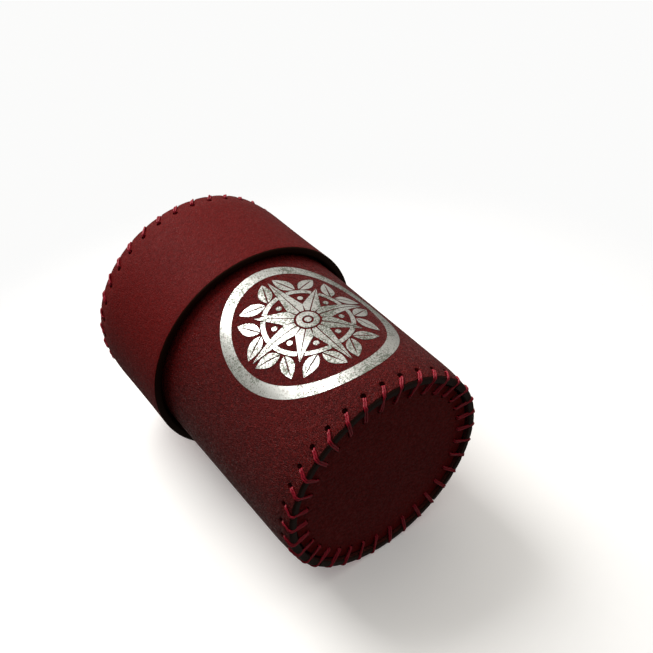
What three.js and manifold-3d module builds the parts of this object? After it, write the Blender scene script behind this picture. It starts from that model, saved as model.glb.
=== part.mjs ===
// Leather dice cup with a lid that slides down over it.
//
// Two rolled tubes of thick leather, each closed at one end by a leather disc let into the tube
// and whip-stitched to it. The lid's tube is wider than the cup's and covers its mouth.
// Millimetres, +Z from the base to the lid, origin in the middle of the surface it stands on.
// The foil emblem faces -Y and both sheets are joined by a stitched butt seam near +Y.

import * as THREE from 'three';
import { mergeVertices } from 'three/addons/utils/BufferGeometryUtils.js';
import { TessellateModifier } from 'three/addons/modifiers/TessellateModifier.js';
import Module from 'manifold-3d';

// ---- driving dimensions ----

const WALL_LEATHER = 2.8;        // thickness of both rolled sheets
const DISC_LEATHER = 2.4;        // thickness of the base and the lid's top
const BODY_RADIUS = 41.8;        // outside of the cup's tube
const BODY_HEIGHT = 122.6;       // from the surface it stands on to the cup's mouth
const LID_HEIGHT = 48.0;         // from the lid's lower edge to its top edge
const LID_CLEARANCE = 0.6;       // between the cup's outside and the lid's inside
const LID_FLARE = 0.5;           // how much the lid's lower edge stands out from its middle
const DRAW_IN = 1.2;             // how far the stitches pull a tube's sewn end inwards
const DRAW_LENGTH = 12.0;        // length of tube that the pull reaches
const DISC_INSET = 1.4;          // from a tube's sewn end to its disc's outer face
const STITCH_THREAD = 1.0;       // diameter of the whip-stitch thread
const SEAM_THREAD = 0.8;         // diameter of the seam thread
const FIT_GAP = 0.3;             // between pieces that touch on the real cup
const THREAD_GAP = 0.15;         // between a thread and the leather it lies on
const HOLE_GAP = 0.5;            // from a thread to the side of its hole
const BASE_STITCHES = 34;
const LID_STITCHES = 36;
const STITCH_SLANT = 0.5;        // how far a stitch leans over the edge, as a share of the pitch
const DISC_HOLE_INSET = 4.0;     // from a disc's rim to its holes
const BODY_SEAM_ANGLE = 85.8;    // degrees from +X, seen from above
const LID_SEAM_ANGLE = 88.0;
const SEAM_GAP = 0.4;            // between the butting edges of a sheet
const SEAM_PITCH = 8.5;          // between the rows of seam stitches
const SEAM_HALF_WIDTH = 2.6;     // from the seam to its holes on each side
const CHANNEL_HALF_WIDTH = 4.2;  // the shaved strips that the seam stitches lie in
const RING_MARGIN_BELOW = 6.6;   // bare leather from the base's stitch holes up to the foil ring
const RING_MARGIN_ABOVE = 4.4;   // and from the ring up to the lid's lower edge
const RING_BAND = 4.6;
const STAR_MARGIN = 3.1;         // from the ring's inside to the star's long points
const FOIL_THICKNESS = 0.15;
const FOIL_GAP = 0.2;
const SHORT_POINT_SHARE = 0.77;  // sizes of the emblem as shares of the star's long points
const WAIST_SHARE = 0.275;
const EYE_SHARE = 0.115;
const HOOP_SHARE = 0.64;
const HOOP_BAND_SHARE = 0.0625;
const LEAF_LENGTH_SHARE = 0.36;
const LEAF_WIDTH_SHARE = 0.15;
const LEAF_SPREAD = 2.5;         // degrees round the hoop from a pair's middle to each leaf
const LEAF_LEAN = 48.0;          // degrees from the hoop to a leaf

// ---- sizes that follow from them ----

const RAD = Math.PI / 180;
const STITCH_RADIUS = STITCH_THREAD / 2;
const SEAM_RADIUS = SEAM_THREAD / 2;
const STITCH_HOLE_DEPTH = DISC_INSET + DISC_LEATHER + THREAD_GAP + STITCH_RADIUS;
const NOTCH_DEPTH = DISC_INSET - 0.1;
const LID_STITCH_ROOM = STITCH_HOLE_DEPTH + STITCH_RADIUS + FIT_GAP;
const TOTAL_HEIGHT = BODY_HEIGHT + LID_STITCH_ROOM;
const LID_RIM_Z = TOTAL_HEIGHT - LID_HEIGHT;
const LID_RADIUS = BODY_RADIUS + LID_CLEARANCE + WALL_LEATHER;
const CHANNEL_DEPTH = SEAM_THREAD + THREAD_GAP;
const RING_BOTTOM = STITCH_HOLE_DEPTH + RING_MARGIN_BELOW;
const RING_TOP = LID_RIM_Z - RING_MARGIN_ABOVE;
const EMBLEM_HEIGHT = (RING_TOP + RING_BOTTOM) / 2;
const RING_RADIUS = (RING_TOP - RING_BOTTOM) / 2;
const STAR_LONG = RING_RADIUS - RING_BAND - STAR_MARGIN;
const STAR_SHORT = STAR_LONG * SHORT_POINT_SHARE;
const STAR_WAIST = STAR_LONG * WAIST_SHARE;
const HOOP_RADIUS = STAR_LONG * HOOP_SHARE;
const HOOP_BAND = STAR_LONG * HOOP_BAND_SHARE;
const LEAF_LENGTH = STAR_LONG * LEAF_LENGTH_SHARE;
const LEAF_WIDTH = STAR_LONG * LEAF_WIDTH_SHARE;
const EDGE_ROUND = 0.5;
const LONGEST_EDGE = 8.0;        // of a foil triangle, so that none cuts the corner of the curve
const FRONT_ANGLE = -90 * RAD;

const wasm = await Module();
wasm.setup();

// ---- solids and meshes ----

function toSolid(geometry) {
  const bare = geometry.clone();
  bare.deleteAttribute('normal');
  bare.deleteAttribute('uv');
  const merged = mergeVertices(bare, 1e-4);
  return new wasm.Manifold(new wasm.Mesh({
    numProp: 3,
    vertProperties: new Float32Array(merged.attributes.position.array),
    triVerts: new Uint32Array(merged.index.array),
  }));
}

function toGeometry(solid) {
  const mesh = solid.getMesh();
  const geometry = new THREE.BufferGeometry();
  geometry.setAttribute('position', new THREE.BufferAttribute(mesh.vertProperties, 3));
  geometry.setIndex(new THREE.BufferAttribute(mesh.triVerts, 1));
  geometry.computeVertexNormals();
  return geometry;
}

function cutAll(solid, tools) {
  let result = solid;
  for (const tool of tools) {
    result = result.subtract(toSolid(tool));
  }
  return result;
}

// A point at an angle (radians), a distance from the axis and a height.
function polar(angle, radius, z) {
  return new THREE.Vector3(radius * Math.cos(angle), radius * Math.sin(angle), z);
}

// A path that goes straight from each point to the next, with a section at every point.
class ThreadPath extends THREE.Curve {
  constructor(points) {
    super();
    this.points = points;
  }

  getPoint(t, target = new THREE.Vector3()) {
    const place = Math.min(Math.max(t, 0), 1) * (this.points.length - 1);
    const before = Math.min(Math.floor(place), this.points.length - 2);
    return target.lerpVectors(this.points[before], this.points[before + 1], place - before);
  }

  getPointAt(u, target) {
    return this.getPoint(u, target);
  }
}

function threadGeometry(points, radius, sides) {
  const section = new THREE.Shape();
  for (let i = 0; i < sides; i += 1) {
    const turn = (2 * Math.PI * i) / sides;
    const x = radius * Math.cos(turn);
    const y = radius * Math.sin(turn);
    if (i === 0) section.moveTo(x, y);
    else section.lineTo(x, y);
  }
  return new THREE.ExtrudeGeometry(section, {
    steps: points.length - 1,
    extrudePath: new ThreadPath(points),
    bevelEnabled: false,
  });
}

// A round tool along an axis that points away from the centre line.
function radialDrill(angle, z, fromRadius, toRadius, radius) {
  const drill = new THREE.CylinderGeometry(radius, radius, toRadius - fromRadius, 6);
  drill.rotateZ(-Math.PI / 2);
  drill.translate((fromRadius + toRadius) / 2, 0, z);
  drill.rotateZ(angle);
  return drill;
}

function uprightDrill(angle, atRadius, zLow, zHigh, radius) {
  const drill = new THREE.CylinderGeometry(radius, radius, zHigh - zLow, 6);
  drill.rotateX(Math.PI / 2);
  const centre = polar(angle, atRadius, (zLow + zHigh) / 2);
  drill.translate(centre.x, centre.y, centre.z);
  return drill;
}

// A block placed at the angle, reaching from one distance to another and centred across.
function radialBlock(angle, fromRadius, toRadius, width, zLow, zHigh) {
  const block = new THREE.BoxGeometry(toRadius - fromRadius, width, zHigh - zLow);
  block.translate((fromRadius + toRadius) / 2, 0, (zLow + zHigh) / 2);
  block.rotateZ(angle);
  return block;
}

// ---- a tube with one sewn end ----
//
// Depth is measured from the sewn end into the tube. The cup's sewn end is at z = 0 and
// depth runs up. The lid's is at the top and depth runs down.

function makeTubeEnd(radius, stitches, seamAngle, sewnZ, inward) {
  const pitch = (2 * Math.PI) / stitches;
  return {
    radius,
    stitches,
    seamAngle: seamAngle * RAD,
    inward,
    pitch,
    outerAt: (depth) => radius - DRAW_IN * Math.max(0, 1 - depth / DRAW_LENGTH) ** 2,
    zAt: (depth) => sewnZ + inward * depth,
    // The thread travels against the turn on the cup and with it on the lid,
    // so that both rows of stitches lean the same way.
    angleAt: (step) => seamAngle * RAD - inward * (step + 0.5) * pitch,
  };
}

const bodyEnd = makeTubeEnd(BODY_RADIUS, BASE_STITCHES, BODY_SEAM_ANGLE, 0, 1);
const lidEnd = makeTubeEnd(LID_RADIUS, LID_STITCHES, LID_SEAM_ANGLE, TOTAL_HEIGHT, -1);
const discRimRadius = (end) => end.radius - DRAW_IN - WALL_LEATHER - FIT_GAP;
const discHoleRadius = (end) => discRimRadius(end) - DISC_HOLE_INSET;

// Revolves points of [distance from the axis, depth] once round the tube's axis.
function revolve(end, points) {
  const profile = points.map(([r, depth]) => new THREE.Vector2(r, end.zAt(depth)));
  const lathe = new THREE.LatheGeometry([...profile, profile[0].clone()], end.stitches);
  lathe.rotateX(Math.PI / 2);
  lathe.rotateZ(end.seamAngle);
  const solid = toSolid(lathe);
  if (solid.volume() > 0) return solid;
  lathe.setIndex([...lathe.index.array].reverse());
  return toSolid(lathe);
}

function wallSolid(end, length, flare) {
  const rows = [0, 2.5, 6.5, DRAW_LENGTH];
  const rim = [[end.radius + flare - EDGE_ROUND, length], [end.radius + flare, length - EDGE_ROUND]];
  const outside = rows.map((depth) => [end.outerAt(depth), depth]);
  outside[0] = [end.outerAt(0), EDGE_ROUND];
  const inside = rows.map((depth) => [end.outerAt(depth) - WALL_LEATHER, depth]);
  const profile = [
    [end.outerAt(0) - EDGE_ROUND, 0],
    ...outside,
    rim[1],
    rim[0],
    [end.radius + flare - WALL_LEATHER, length],
    ...inside.reverse(),
  ];
  return revolve(end, profile);
}

function stitchHoleTools(end) {
  const tools = [];
  const drillRadius = STITCH_RADIUS + HOLE_GAP;
  for (let i = 0; i < end.stitches; i += 1) {
    const outer = end.outerAt(STITCH_HOLE_DEPTH);
    const z = end.zAt(STITCH_HOLE_DEPTH);
    tools.push(radialDrill(end.angleAt(i), z, outer - WALL_LEATHER - 1, outer + 1, drillRadius));
    const low = Math.min(end.zAt(-1), end.zAt(NOTCH_DEPTH));
    const high = Math.max(end.zAt(-1), end.zAt(NOTCH_DEPTH));
    const notchAngle = end.angleAt(i + STITCH_SLANT * 0.7);
    tools.push(radialBlock(notchAngle, outer - WALL_LEATHER - 2, outer + 2, 2 * drillRadius, low, high));
  }
  return tools;
}

function discSolid(end) {
  const rim = discRimRadius(end);
  const inner = DISC_INSET + DISC_LEATHER;
  const disc = revolve(end, [[0, DISC_INSET], [rim, DISC_INSET], [rim, inner], [0, inner]]);
  const low = Math.min(end.zAt(0), end.zAt(inner + 1));
  const high = Math.max(end.zAt(0), end.zAt(inner + 1));
  const tools = [];
  for (let i = 0; i < end.stitches; i += 1) {
    const angle = end.angleAt(i + STITCH_SLANT);
    tools.push(uprightDrill(angle, discHoleRadius(end), low, high, STITCH_RADIUS + HOLE_GAP));
  }
  return cutAll(disc, tools);
}

// One turn of the thread: out through the wall, over its end, in through the disc
// and along the disc's inner face to the next hole in the wall.
function stitchThread(end) {
  const outer = (depth) => end.outerAt(depth) + STITCH_RADIUS + THREAD_GAP;
  const inner = end.outerAt(STITCH_HOLE_DEPTH) - WALL_LEATHER;
  const hole = discHoleRadius(end);
  const faceDepth = DISC_INSET - THREAD_GAP - STITCH_RADIUS;
  const slant = STITCH_SLANT;
  const turn = [
    [0, inner - 0.2, STITCH_HOLE_DEPTH],
    [0, outer(STITCH_HOLE_DEPTH) - 0.7, STITCH_HOLE_DEPTH],
    [slant * 0.07, outer(STITCH_HOLE_DEPTH), STITCH_HOLE_DEPTH - 0.6],
    [slant * 0.58, outer(1.3), 1.3],
    [slant * 0.66, outer(0) - 0.5, faceDepth],
    [slant * 0.94, hole + 0.6, faceDepth],
    [slant, hole, faceDepth + 0.6],
    [slant, hole, STITCH_HOLE_DEPTH - 0.6],
    [slant * 1.08, hole + 0.5, STITCH_HOLE_DEPTH],
  ];
  const points = [];
  for (let i = 0; i < end.stitches; i += 1) {
    for (const [step, r, depth] of turn) {
      points.push(polar(end.angleAt(i + step), r, end.zAt(depth)));
    }
  }
  return threadGeometry(points, STITCH_RADIUS, 5);
}

// ---- the stitched seam that closes a rolled sheet ----

function makeSeam(end, zLow, zHigh) {
  const rows = Math.floor((zHigh - zLow) / SEAM_PITCH) + 1;
  const first = (zLow + zHigh - (rows - 1) * SEAM_PITCH) / 2;
  const drillRadius = SEAM_RADIUS + HOLE_GAP * 0.7;
  return { end, rows, first, drillRadius, rowZ: (row) => first + row * SEAM_PITCH };
}

const seamMargin = 7.0;
const bodySeam = makeSeam(bodyEnd, seamMargin + 3, BODY_HEIGHT - seamMargin);
const lidSeam = makeSeam(lidEnd, LID_RIM_Z + seamMargin, TOTAL_HEIGHT - seamMargin - 3);

function seamTools(seam, zLow, zHigh) {
  const { end } = seam;
  const inner = end.radius - WALL_LEATHER;
  const channelLow = seam.rowZ(0) - 2;
  const channelHigh = seam.rowZ(seam.rows - 1) + 2;
  const width = 2 * CHANNEL_HALF_WIDTH;
  const outside = [end.radius - CHANNEL_DEPTH, end.radius + 2];
  const inside = [inner - 2, inner + CHANNEL_DEPTH];
  const tools = [
    radialBlock(end.seamAngle, inner - 4, end.radius + 4, SEAM_GAP, zLow - 1, zHigh + 1),
    radialBlock(end.seamAngle, outside[0], outside[1], width, channelLow, channelHigh),
    radialBlock(end.seamAngle, inside[0], inside[1], width, channelLow, channelHigh),
  ];
  for (let row = 0; row < seam.rows; row += 1) {
    for (const side of [-1, 1]) {
      const drill = radialDrill(0, seam.rowZ(row), inner - 2, end.radius + 2, seam.drillRadius);
      drill.translate(0, side * SEAM_HALF_WIDTH, 0);
      drill.rotateZ(end.seamAngle);
      tools.push(drill);
    }
  }
  return tools;
}

// Out on one side, slanting up across the seam, in on the other side and straight back inside.
function seamThread(seam) {
  const { end } = seam;
  const outside = end.radius - CHANNEL_DEPTH + THREAD_GAP + SEAM_RADIUS;
  const inside = end.radius - WALL_LEATHER + CHANNEL_DEPTH - THREAD_GAP - SEAM_RADIUS;
  const w = SEAM_HALF_WIDTH;
  const points = [];
  const add = (x, y, z) => {
    points.push(new THREE.Vector3(x, y, z).applyAxisAngle(new THREE.Vector3(0, 0, 1), end.seamAngle));
  };
  for (let row = 0; row < seam.rows - 1; row += 1) {
    const z = seam.rowZ(row);
    const next = seam.rowZ(row + 1);
    if (row === 0) add(inside, -w * 0.2, z);
    add(inside, -w + 0.35, z);
    add(inside + 0.35, -w, z);
    add(outside - 0.35, -w, z);
    add(outside, -w + 0.15, z + 0.35);
    add(outside, w - 0.15, next - 0.35);
    add(outside - 0.35, w, next);
    add(inside + 0.35, w, next);
    add(inside, w - 0.35, next);
    if (row === seam.rows - 2) add(inside, w * 0.2, next);
  }
  return threadGeometry(points, SEAM_RADIUS, 5);
}

// ---- foil emblem, drawn flat and bent round the cup ----

function bendRoundBody(geometry) {
  const position = geometry.attributes.position;
  for (let i = 0; i < position.count; i += 1) {
    const angle = FRONT_ANGLE + position.getX(i) / BODY_RADIUS;
    const radius = BODY_RADIUS + FOIL_GAP + position.getZ(i);
    const point = polar(angle, radius, EMBLEM_HEIGHT + position.getY(i));
    position.setXYZ(i, point.x, point.y, point.z);
  }
  return geometry;
}

function plate(shape) {
  return new THREE.ExtrudeGeometry(shape, {
    depth: FOIL_THICKNESS,
    bevelEnabled: false,
    curveSegments: 18,
  });
}

function annulus(outer, inner) {
  const shape = new THREE.Shape();
  shape.absarc(0, 0, outer, 0, 2 * Math.PI, false);
  const hole = new THREE.Path();
  hole.absarc(0, 0, inner, 0, 2 * Math.PI, true);
  shape.holes.push(hole);
  return plate(shape);
}

function bentPlate(solid) {
  const flat = toGeometry(solid).toNonIndexed();
  flat.deleteAttribute('normal');
  const fine = new TessellateModifier(LONGEST_EDGE, 8).modify(flat);
  fine.deleteAttribute('normal');
  const bent = mergeVertices(bendRoundBody(fine), 1e-4);
  bent.computeVertexNormals();
  return bent;
}

function starShape() {
  const shape = new THREE.Shape();
  for (let i = 0; i < 16; i += 1) {
    const tip = i % 4 === 0 ? STAR_LONG : STAR_SHORT;
    const radius = i % 2 === 0 ? tip : STAR_WAIST;
    const angle = (i * Math.PI) / 8 + Math.PI / 2;
    if (i === 0) shape.moveTo(radius * Math.cos(angle), radius * Math.sin(angle));
    else shape.lineTo(radius * Math.cos(angle), radius * Math.sin(angle));
  }
  const eye = new THREE.Path();
  eye.absarc(0, 0, STAR_LONG * EYE_SHARE, 0, 2 * Math.PI, true);
  shape.holes.push(eye);
  return shape;
}

// A pointed leaf that grows from the hoop and leans along it.
function leaf(angle, side) {
  const shape = new THREE.Shape();
  shape.moveTo(0, 0);
  shape.quadraticCurveTo(LEAF_LENGTH * 0.45, LEAF_WIDTH, LEAF_LENGTH, 0);
  shape.quadraticCurveTo(LEAF_LENGTH * 0.45, -LEAF_WIDTH, 0, 0);
  const geometry = new THREE.ExtrudeGeometry(shape, {
    depth: FOIL_THICKNESS,
    bevelEnabled: false,
    curveSegments: 3,
  });
  geometry.rotateZ((side > 0 ? LEAF_LEAN : 180 - LEAF_LEAN) * RAD);
  geometry.translate(0, HOOP_RADIUS, 0);
  geometry.rotateZ(angle);
  return geometry;
}

function motifSolid() {
  let motif = toSolid(plate(starShape()));
  motif = motif.add(toSolid(annulus(HOOP_RADIUS + HOOP_BAND / 2, HOOP_RADIUS - HOOP_BAND / 2)));
  for (let i = 0; i < 8; i += 1) {
    const middle = (i * Math.PI) / 4 + Math.PI / 8;
    motif = motif.add(toSolid(leaf(middle + LEAF_SPREAD * RAD, 1)));
    motif = motif.add(toSolid(leaf(middle - LEAF_SPREAD * RAD, -1)));
  }
  return motif;
}

// ---- materials ----

const leather = (color) => new THREE.MeshStandardMaterial({ color, roughness: 0.5, metalness: 0 });
const wallLeather = leather(0x5e1f22);
const discLeather = leather(0x541a1e);
const waxedThread = new THREE.MeshStandardMaterial({ color: 0xa3183a, roughness: 0.6, metalness: 0 });
const hotFoil = new THREE.MeshStandardMaterial({ color: 0xc9cdc6, roughness: 0.35, metalness: 0.9 });

// ---- assembly ----

function addPiece(group, name, geometry, material) {
  const mesh = new THREE.Mesh(geometry, material);
  mesh.name = name;
  group.add(mesh);
}

const bodyWall = cutAll(wallSolid(bodyEnd, BODY_HEIGHT, 0), [
  ...stitchHoleTools(bodyEnd),
  ...seamTools(bodySeam, 0, BODY_HEIGHT),
]);
const lidWall = cutAll(wallSolid(lidEnd, LID_HEIGHT, LID_FLARE), [
  ...stitchHoleTools(lidEnd),
  ...seamTools(lidSeam, LID_RIM_Z, TOTAL_HEIGHT),
]);

const cup = new THREE.Group();
addPiece(cup, 'body_wall', toGeometry(bodyWall), wallLeather);
addPiece(cup, 'base_disc', toGeometry(discSolid(bodyEnd)), discLeather);
addPiece(cup, 'base_stitch_thread', stitchThread(bodyEnd), waxedThread);
addPiece(cup, 'body_seam_thread', seamThread(bodySeam), waxedThread);
addPiece(cup, 'emblem_ring_foil', bentPlate(toSolid(annulus(RING_RADIUS, RING_RADIUS - RING_BAND))), hotFoil);
addPiece(cup, 'emblem_motif_foil', bentPlate(motifSolid()), hotFoil);

const lid = new THREE.Group();
addPiece(lid, 'lid_wall', toGeometry(lidWall), wallLeather);
addPiece(lid, 'lid_top_disc', toGeometry(discSolid(lidEnd)), discLeather);
addPiece(lid, 'lid_stitch_thread', stitchThread(lidEnd), waxedThread);
addPiece(lid, 'lid_seam_thread', seamThread(lidSeam), waxedThread);

const diceCup = new THREE.Group();
diceCup.add(cup, lid);

export default diceCup;
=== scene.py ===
"""Looks of a leather dice cup with a lid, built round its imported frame.

Two rolled leather sheets, two leather discs, the whip stitches that sew them together, the
stitched seams that close the sheets and a silver foil emblem. Metres, +Z from base to lid.
"""

import math

import bpy
from mathutils import Matrix, Vector


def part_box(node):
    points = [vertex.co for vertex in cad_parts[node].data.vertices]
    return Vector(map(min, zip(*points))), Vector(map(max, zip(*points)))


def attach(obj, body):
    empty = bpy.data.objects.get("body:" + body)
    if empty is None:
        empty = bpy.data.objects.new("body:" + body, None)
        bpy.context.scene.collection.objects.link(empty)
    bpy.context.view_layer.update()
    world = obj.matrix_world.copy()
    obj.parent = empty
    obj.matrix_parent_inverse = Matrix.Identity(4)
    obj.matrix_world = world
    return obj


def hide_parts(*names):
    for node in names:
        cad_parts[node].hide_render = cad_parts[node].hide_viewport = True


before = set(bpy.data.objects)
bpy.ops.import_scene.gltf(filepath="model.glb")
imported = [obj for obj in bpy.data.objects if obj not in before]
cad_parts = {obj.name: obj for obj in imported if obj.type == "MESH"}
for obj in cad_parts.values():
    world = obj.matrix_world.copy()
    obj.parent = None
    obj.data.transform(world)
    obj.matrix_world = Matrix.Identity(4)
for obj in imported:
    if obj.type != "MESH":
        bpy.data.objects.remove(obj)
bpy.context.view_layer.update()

bl_info = {
    "name": "Leather Dice Cup",
    "version": (1, 0, 0),
    "blender": (4, 5, 0),
    "location": "View3D > Sidebar > Dice Cup",
    "description": "Models a hand-stitched leather dice cup with a slip-over lid",
    "category": "Add Mesh",
}

# ---- sizes read from the frame ----

BODY_LOW, BODY_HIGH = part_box("body_wall")
LID_LOW, LID_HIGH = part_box("lid_wall")
BASE_DISC_LOW, BASE_DISC_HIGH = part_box("base_disc")
RING_LOW, RING_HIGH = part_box("emblem_ring_foil")
MOTIF_LOW, MOTIF_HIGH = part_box("emblem_motif_foil")

BODY_RADIUS = max(BODY_HIGH.x, BODY_HIGH.y, -BODY_LOW.x, -BODY_LOW.y)
LID_RIM_RADIUS = max(LID_HIGH.x, LID_HIGH.y, -LID_LOW.x, -LID_LOW.y)
RING_RADIUS = (RING_HIGH.z - RING_LOW.z) / 2
RING_CENTRE = (RING_HIGH.z + RING_LOW.z) / 2
STAR_LONG = (MOTIF_HIGH.z - MOTIF_LOW.z) / 2
MM = 0.001
TURN = 2 * math.pi
FRONT = -math.pi / 2  # the angle round the cup at which the emblem is centred
ACROSS = (0, math.pi / 2, 0)  # turns a drill so that it goes through a wall


# ---- what a user would change ----

def length(name, description, default):
    return bpy.props.FloatProperty(
        name=name, description=description, default=default, unit="LENGTH", subtype="DISTANCE", precision=5
    )


def stitch_count(name, description, default):
    return bpy.props.IntProperty(name=name, description=description, default=default, min=3)


def place_angle(name, description, default):
    return bpy.props.FloatProperty(name=name, description=description, default=default, subtype="ANGLE")


def colour(name, description, default):
    return bpy.props.FloatVectorProperty(
        name=name, description=description, default=default, size=3, min=0, max=1, subtype="COLOR"
    )


class DiceCupSizes(bpy.types.PropertyGroup):
    """Sizes of the leather, the stitches and the foil."""

    leather: length("Wall leather", "Thickness of the rolled sheets", 2.8 * MM)
    disc_leather: length("Disc leather", "Thickness of the discs", BASE_DISC_HIGH.z - BASE_DISC_LOW.z)
    disc_inset: length("Disc inset", "From a sewn end to its disc", BASE_DISC_LOW.z)
    edge_round: length("Edge round", "Radius of the burnished edges", 0.75 * MM)
    lid_flare: length("Lid flare", "How far the lid's lower edge stands out", 0.5 * MM)
    draw_in: length("Draw in", "How far the stitches pull a sewn end inwards", 1.2 * MM)
    draw_length: length("Draw length", "Length of tube that the pull reaches", 12 * MM)
    dent: length("Stitch dent", "How deep a tight stitch presses into the leather", 0.35 * MM)
    hole: length("Stitch hole", "Radius of a punched stitch hole", 1.0 * MM)
    groove: length("Groove", "Radius of the groove that a stitch presses into the wall's end", 0.85 * MM)
    pulled: length("Pulled", "How far a tight thread is pulled to the side of its hole", 0.8 * MM)
    strand: length("Strand", "Radius of one strand of the doubled thread", 0.36 * MM)
    seam_strand: length("Seam strand", "Radius of one strand of the seam thread", 0.25 * MM)
    seam_gap: length("Seam gap", "Between the butting edges of a rolled sheet", 0.2 * MM)
    seam_pitch: length("Seam pitch", "Between two rows of seam stitches", 8.5 * MM)
    seam_width: length("Seam half width", "From a seam to the holes beside it", 2.6 * MM)
    seam_hole: length("Seam hole", "Radius of a hole beside a seam", 0.48 * MM)
    shave: length("Shave", "How deep the leather is shaved beside a seam", 0.95 * MM)
    base_stitches: stitch_count("Base stitches", "Stitches round the base", 34)
    lid_stitches: stitch_count("Lid stitches", "Stitches round the lid's top", 36)
    slant: bpy.props.FloatProperty(
        name="Slant",
        description="How far a stitch leans over the edge, in pitches",
        default=0.5,
        subtype="FACTOR",
    )
    body_seam: place_angle("Body seam", "Where the body's seam is", math.radians(85.8))
    lid_seam: place_angle("Lid seam", "Where the lid's seam is", math.radians(88.0))
    ring_band: length("Ring band", "Width of the foil ring", 4.6 * MM)
    foil: length("Foil", "Thickness of the foil", 0.05 * MM)


class DiceCupColours(bpy.types.PropertyGroup):
    """Colours of the finishes."""

    # leather_light is also the colour of the painted glints on the grain's pebbles
    leather_light: colour("Leather, light", "Where the dye is thinner", (0.140, 0.0050, 0.0048))
    leather_dark: colour("Leather, dark", "Where the dye has gathered", (0.070, 0.0018, 0.0023))
    flesh_side: colour("Flesh side", "The unfinished inside of the leather", (0.16, 0.035, 0.028))
    edge_paint: colour("Edge paint", "The paint on the cut edges", (0.018, 0.0055, 0.0024))
    thread: colour("Thread", "The waxed thread", (0.40, 0.0018, 0.022))
    # the bright and dull foil colours also carry painted reflection, laid out in large zones
    foil_bright: colour("Foil, bright", "Well-pressed foil", (0.52, 0.53, 0.51))
    foil_dull: colour("Foil, dull", "Thin or rubbed foil", (0.15, 0.165, 0.135))
    floor: colour("Floor", "The studio floor", (0.92, 0.92, 0.915))


def sizes():
    return bpy.context.scene.dice_cup_sizes


def colours():
    return bpy.context.scene.dice_cup_colours


# ---- the two rolled tubes ----

class Tube:
    """A rolled sheet, measured from its sewn end: depth runs from that end into the tube."""

    def __init__(self, radius, sewn_z, inward, height, flare, stitches, seam_angle):
        self.radius = radius
        self.sewn_z = sewn_z
        self.inward = inward
        self.height = height
        self.flare = flare
        self.stitches = stitches
        self.seam_angle = seam_angle
        self.pitch = TURN / stitches
        s = sizes()
        self.hole_depth = s.disc_inset + s.disc_leather + 0.65 * MM
        self.disc_radius = radius - s.draw_in - s.leather - 0.3 * MM
        self.disc_hole_radius = self.disc_radius - 4 * MM

    def z_at(self, depth):
        return self.sewn_z + self.inward * depth

    def depth_at(self, z):
        return (z - self.sewn_z) * self.inward

    def angle_at(self, step):
        return self.seam_angle - self.inward * (step + 0.5) * self.pitch

    def outer_at(self, depth):
        s = sizes()
        pull = s.draw_in * max(0, 1 - depth / s.draw_length) ** 2
        spread = self.flare * max(0, depth / self.height) ** 3
        return self.radius - pull + spread

    def unevenness(self, angle, depth):
        """Hand-rolled leather is never quite round: a few slow waves, a tenth of a millimetre high."""
        fade = min(1, max(0, depth / (10 * MM)))
        wave = math.sin(3 * angle + 30 * depth) + 0.6 * math.sin(5 * angle - 45 * depth + 1.3)
        return 0.06 * MM * fade * wave

    def dent_at(self, angle, depth):
        """How far the nearest stitch presses the leather in."""
        s = sizes()
        steps = -(angle - self.seam_angle) * self.inward / self.pitch - 0.5
        lean = s.slant * 0.62 * max(0, 1 - depth / self.hole_depth)
        across = ((steps - lean + 0.5) % 1 - 0.5) * self.pitch * self.radius
        beyond = max(0, depth - self.hole_depth)
        reach = 1.25 * MM
        return s.dent * math.exp(-(across / reach) ** 2 - (beyond / reach) ** 2)

    def surface_at(self, angle, depth):
        return self.outer_at(depth) + self.unevenness(angle, depth) - self.dent_at(angle, depth)


def body_tube():
    s = sizes()
    return Tube(BODY_RADIUS, 0, 1, BODY_HIGH.z, 0, s.base_stitches, s.body_seam)


def lid_tube():
    s = sizes()
    radius = LID_RIM_RADIUS - s.lid_flare
    return Tube(radius, LID_HIGH.z, -1, LID_HIGH.z - LID_LOW.z, s.lid_flare, s.lid_stitches, s.lid_seam)


def polar(angle, radius, z):
    return Vector((radius * math.cos(angle), radius * math.sin(angle), z))


# ---- modelling helpers ----

def clear_selection():
    if bpy.context.object and bpy.context.object.mode != "OBJECT":
        bpy.ops.object.mode_set(mode="OBJECT")
    bpy.ops.object.select_all(action="DESELECT")


def pick(*objects):
    clear_selection()
    for obj in objects:
        obj.select_set(True)
    bpy.context.view_layer.objects.active = objects[0]


def settle(obj):
    """Puts the object at the origin, unturned and unscaled, with its place in its mesh."""
    pick(obj)
    bpy.ops.object.transform_apply(location=True, rotation=True, scale=True)


def named(name):
    obj = bpy.context.object
    obj.name = name
    obj.data.name = name
    return obj


def edit(obj, mode="VERT"):
    pick(obj)
    bpy.ops.object.mode_set(mode="EDIT")
    bpy.ops.mesh.select_mode(type=mode)


def done():
    bpy.ops.object.mode_set(mode="OBJECT")


def select_edges(obj, test):
    """Selects, in edit mode, the edges whose two ends pass the test."""
    edit(obj, "EDGE")
    bpy.ops.mesh.select_all(action="DESELECT")
    done()
    points = obj.data.vertices
    for edge in obj.data.edges:
        edge.select = test(points[edge.vertices[0]].co, points[edge.vertices[1]].co)
    bpy.ops.object.mode_set(mode="EDIT")


def select_faces(obj, test):
    edit(obj, "FACE")
    bpy.ops.mesh.select_all(action="DESELECT")
    done()
    for face in obj.data.polygons:
        face.select = test(face.center, face.normal)
    bpy.ops.object.mode_set(mode="EDIT")


def copied(original, places):
    """Copies a modelled object to each place, every copy with its own mesh, and joins them."""
    settle(original)
    twins = []
    for place in places:
        twin = original.copy()
        twin.data = original.data.copy()
        twin.matrix_world = place
        bpy.context.scene.collection.objects.link(twin)
        twins.append(twin)
    bpy.data.objects.remove(original)
    pick(*twins)
    bpy.ops.object.join()
    joined = bpy.context.object
    settle(joined)
    return joined


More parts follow.
